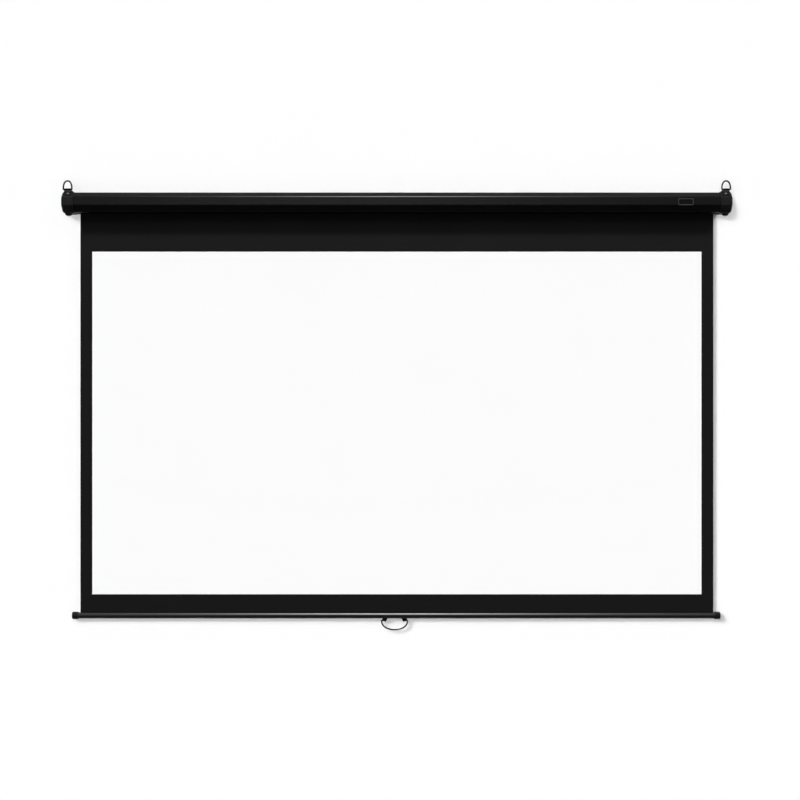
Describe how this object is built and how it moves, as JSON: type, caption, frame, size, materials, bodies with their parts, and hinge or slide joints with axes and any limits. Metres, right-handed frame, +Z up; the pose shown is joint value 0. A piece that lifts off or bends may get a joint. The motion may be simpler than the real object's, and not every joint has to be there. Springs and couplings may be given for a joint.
{
  "type": "pull down projector screen",
  "caption": "Pull down projector screen: case with hanging rings, spring roller, white picture area with black borders, weight bar and handle.",
  "frame": {"origin": "centre of the case's flat back, in the plane of the wall", "axes": "+Z up, front towards -Y, +X to the viewer's right"},
  "size_m": [2.424, 0.0741, 1.6368],
  "materials": {
    "case_paint": "satin black powder coat",
    "cap_plastic": "moulded black plastic",
    "strap_paint": "satin black paint",
    "ring_wire": "black coated wire",
    "screw_steel": "zinc plated",
    "badge_black": "gloss black, blank",
    "plated_steel": "zinc plated",
    "bush_nylon": "natural nylon",
    "plug_plastic": "moulded black plastic",
    "cloth_black": "black coated backing",
    "picture_white": "matte white coating",
    "bar_paint": "satin black powder coat",
    "handle_wire": "black coated wire"
  },
  "bodies": {
    "case": {"case_housing": "case_paint", "badge_plate": "badge_black", "left_bracket": "plated_steel", "right_bracket": "plated_steel", "bearing_bush": "bush_nylon", "spring_arbor": "plated_steel", "ratchet_wheel": "plated_steel", "spring_collar": "plated_steel", "torsion_spring": "plated_steel", "screen_cloth": "cloth_black", "picture_surface": "picture_white", "left_end_cap": "cap_plastic", "left_hanger_strap": "strap_paint", "left_front_screw": "screw_steel", "left_rear_screw": "screw_steel", "left_lower_screw": "screw_steel", "right_end_cap": "cap_plastic", "right_hanger_strap": "strap_paint", "right_front_screw": "screw_steel", "right_rear_screw": "screw_steel", "right_lower_screw": "screw_steel"},
    "screen": {"weight_bar": "bar_paint", "cloth_hem": "cloth_black", "hem_rod": "plated_steel", "left_bar_cap": "cap_plastic", "right_bar_cap": "cap_plastic", "left_handle_lug": "bar_paint", "right_handle_lug": "bar_paint", "left_lug_screw": "screw_steel", "right_lug_screw": "screw_steel"},
    "roller": {"roller_tube": "plated_steel", "wound_cloth": "cloth_black", "lock_plug": "plug_plastic", "idle_plug": "plug_plastic", "gudgeon_pin": "plated_steel", "spring_anchor_plug": "plug_plastic", "pawl_pin": "plated_steel"},
    "pawl": {"lock_pawl": "plated_steel"},
    "left_ring": {"left_hanging_ring": "ring_wire"},
    "right_ring": {"right_hanging_ring": "ring_wire"},
    "handle": {"pull_handle": "handle_wire"}
  },
  "joints": [
    {"name": "screen_slide", "type": "slide", "parent": "case", "child": "screen", "axis": [0, 0, 1], "range_m": [0, 1.444], "deforming": ["screen_cloth", "picture_surface"]},
    {"name": "roller_spin", "type": "hinge", "parent": "case", "child": "roller", "pos_m": [0, -0.0365, 0], "axis": [1, 0, 0], "range_deg": [0, 3961]},
    {"name": "pawl_swing", "type": "hinge", "parent": "roller", "child": "pawl", "pos_m": [-1.1638, -0.0365, -0.015], "axis": [1, 0, 0], "range_deg": [0, 30]},
    {"name": "left_ring_swing", "type": "hinge", "parent": "case", "child": "left_ring", "pos_m": [-1.192, -0.036, 0.0482], "axis": [1, 0, 0], "range_deg": [-90, 90]},
    {"name": "right_ring_swing", "type": "hinge", "parent": "case", "child": "right_ring", "pos_m": [1.192, -0.036, 0.0482], "axis": [1, 0, 0], "range_deg": [-90, 90]},
    {"name": "handle_swing", "type": "hinge", "parent": "screen", "child": "handle", "pos_m": [-0.0085, -0.0155, -1.5125], "axis": [1, 0, 0], "range_deg": [-90, 90]}
  ],
  "couplings": [
    {"joint": "roller_spin", "follows": "screen_slide", "rad_per_m": 47.864}
  ]
}
